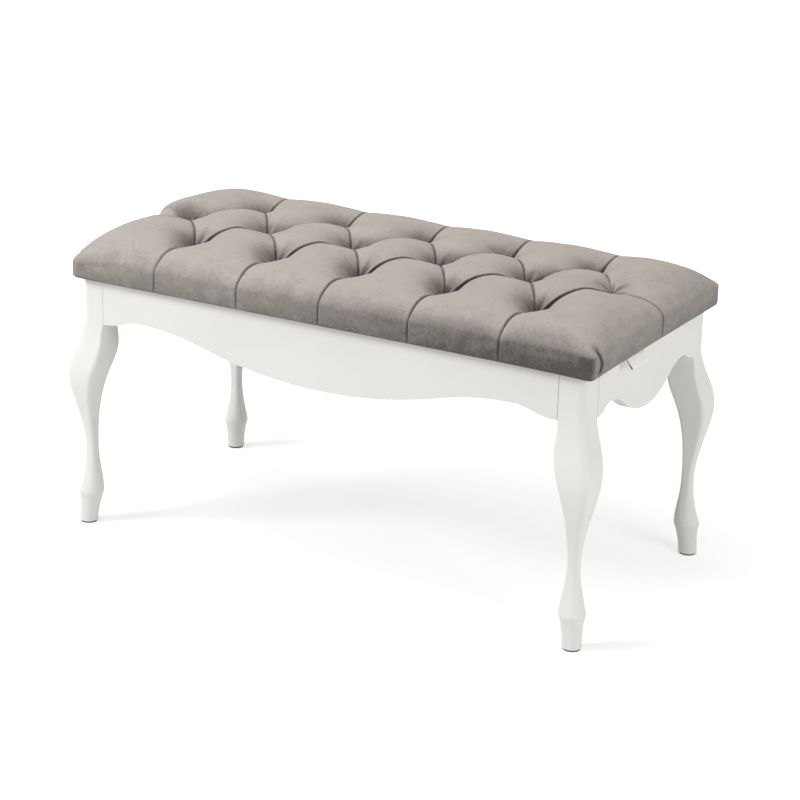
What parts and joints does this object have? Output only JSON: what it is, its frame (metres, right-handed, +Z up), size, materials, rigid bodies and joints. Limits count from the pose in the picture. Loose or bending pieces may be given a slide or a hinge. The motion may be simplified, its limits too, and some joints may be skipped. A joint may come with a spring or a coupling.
{
  "type": "piano bench",
  "caption": "Upholstered piano bench: a long diamond-tufted velvet seat on a white lacquered wooden frame with shaped aprons and slim cabriole legs.",
  "frame": {"origin": "on the floor, under the middle of the bench", "axes": "+X along the bench's length, -Y to the front, +Z up"},
  "size_m": [0.9098, 0.4598, 0.4884],
  "materials": {
    "lacquered_wood": "white satin lacquer",
    "bare_wood": "planed beech",
    "plywood": "sanded birch plywood",
    "velvet": "short pile taupe velvet",
    "foam": "cut polyurethane foam",
    "twine": "waxed twine",
    "dust_cloth": "black non-woven cloth",
    "tag_ribbon": "blank satin ribbon",
    "zinc_steel": "zinc plated",
    "glide_plastic": "moulded black plastic"
  },
  "bodies": {
    "root": {"leg_front_left": "lacquered_wood", "leg_front_right": "lacquered_wood", "leg_rear_left": "lacquered_wood", "leg_rear_right": "lacquered_wood", "apron_front": "lacquered_wood", "apron_rear": "lacquered_wood", "apron_left": "lacquered_wood", "apron_right": "lacquered_wood", "corner_block_front_left": "bare_wood", "corner_block_front_right": "bare_wood", "corner_block_rear_left": "bare_wood", "corner_block_rear_right": "bare_wood", "apron_dowels": "bare_wood", "corner_block_screws": "zinc_steel", "hanger_bolts": "zinc_steel", "bolt_washers": "zinc_steel", "bolt_nuts": "zinc_steel", "seat_screws": "zinc_steel", "seat_board": "plywood", "seat_foam": "foam", "seat_cover": "velvet", "tufting_twines": "twine", "dust_cover": "dust_cloth", "side_tag": "tag_ribbon", "foot_glide_front_left": "glide_plastic", "foot_glide_front_right": "glide_plastic", "foot_glide_rear_left": "glide_plastic", "foot_glide_rear_right": "glide_plastic"}
  },
  "joints": []
}
